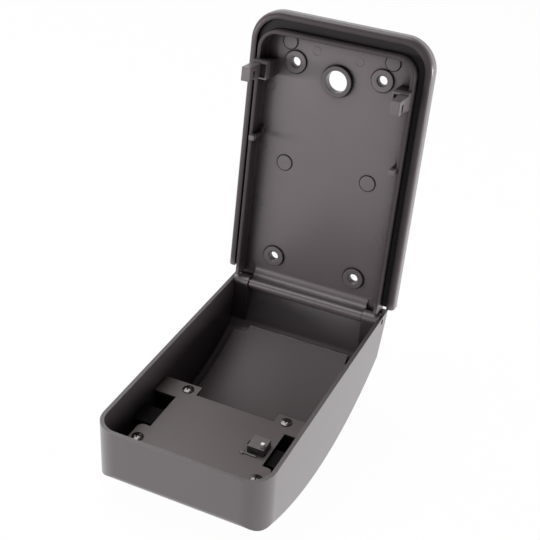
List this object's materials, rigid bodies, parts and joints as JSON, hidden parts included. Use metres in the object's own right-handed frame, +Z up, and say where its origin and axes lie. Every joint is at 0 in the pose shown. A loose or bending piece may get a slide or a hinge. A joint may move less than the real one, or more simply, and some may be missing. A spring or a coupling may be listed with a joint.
{
  "type": "combination key safe",
  "caption": "Wall-mounted key safe with a cast back plate, a deep curved cover hinged at its foot, number wheels, a sliding latch and a code change button.",
  "frame": {"origin": "on the wall plate's back face, midway between its four wall screw holes", "axes": "+X to the right as seen from the room, +Y into the wall, +Z up the wall"},
  "size_m": [0.0968, 0.1532, 0.2048],
  "materials": {
    "cast_grey": "satin powder coat",
    "seal_rubber": "matt",
    "lock_sheet": "satin",
    "bright_steel": "zinc plated",
    "dark_steel": "blackened",
    "zinc_cast": "as cast",
    "black_plastic": "matt",
    "wheel_plastic": "satin",
    "hub_brass": "turned"
  },
  "bodies": {
    "plate": {"wall_plate": "cast_grey", "rim_seal": "seal_rubber"},
    "cover": {"cover_shell": "cast_grey", "floor_liner": "black_plastic", "lock_plate": "lock_sheet", "lock_screws": "dark_steel", "hinge_pin": "bright_steel", "wheel_brackets": "zinc_cast", "wheel_axle": "bright_steel", "axle_clips": "bright_steel", "wheel_bezel": "black_plastic", "detent_strip": "bright_steel"},
    "latch": {"latch_slide": "dark_steel", "thumb_slide": "cast_grey", "slide_rivets": "bright_steel"},
    "change": {"change_button": "black_plastic", "change_bar": "bright_steel"},
    "wheel_1": {"number_wheel_1": "wheel_plastic"},
    "hub_1": {"code_hub_1": "hub_brass"},
    "wheel_2": {"number_wheel_2": "wheel_plastic"},
    "hub_2": {"code_hub_2": "hub_brass"},
    "wheel_3": {"number_wheel_3": "wheel_plastic"},
    "hub_3": {"code_hub_3": "hub_brass"},
    "wheel_4": {"number_wheel_4": "wheel_plastic"},
    "hub_4": {"code_hub_4": "hub_brass"}
  },
  "joints": [
    {"name": "cover_hinge", "type": "hinge", "parent": "plate", "child": "cover", "pos_m": [0, -0.0079, -0.07195], "axis": [-1, 0, 0], "range_deg": [0, 97.4]},
    {"name": "latch_travel", "type": "slide", "parent": "cover", "child": "latch", "axis": [0, -0.9917, -0.1288], "range_m": [0, 0.008]},
    {"name": "change_travel", "type": "slide", "parent": "cover", "child": "change", "axis": [-1, 0, 0], "range_m": [0, 0.0024]},
    {"name": "wheel_1_turn", "type": "hinge", "parent": "cover", "child": "wheel_1", "pos_m": [0, -0.11512, -0.116], "axis": [1, 0, 0], "continuous": true},
    {"name": "hub_1_shift", "type": "slide", "parent": "wheel_1", "child": "hub_1", "axis": [-1, 0, 0], "range_m": [0, 0.0024]},
    {"name": "wheel_2_turn", "type": "hinge", "parent": "cover", "child": "wheel_2", "pos_m": [0, -0.11512, -0.116], "axis": [1, 0, 0], "continuous": true},
    {"name": "hub_2_shift", "type": "slide", "parent": "wheel_2", "child": "hub_2", "axis": [-1, 0, 0], "range_m": [0, 0.0024]},
    {"name": "wheel_3_turn", "type": "hinge", "parent": "cover", "child": "wheel_3", "pos_m": [0, -0.11512, -0.116], "axis": [1, 0, 0], "continuous": true},
    {"name": "hub_3_shift", "type": "slide", "parent": "wheel_3", "child": "hub_3", "axis": [-1, 0, 0], "range_m": [0, 0.0024]},
    {"name": "wheel_4_turn", "type": "hinge", "parent": "cover", "child": "wheel_4", "pos_m": [0, -0.11512, -0.116], "axis": [1, 0, 0], "continuous": true},
    {"name": "hub_4_shift", "type": "slide", "parent": "wheel_4", "child": "hub_4", "axis": [-1, 0, 0], "range_m": [0, 0.0024]}
  ],
  "couplings": [
    {"joint": "hub_1_shift", "follows": "change_travel", "ratio": 1},
    {"joint": "hub_2_shift", "follows": "change_travel", "ratio": 1},
    {"joint": "hub_3_shift", "follows": "change_travel", "ratio": 1},
    {"joint": "hub_4_shift", "follows": "change_travel", "ratio": 1}
  ]
}
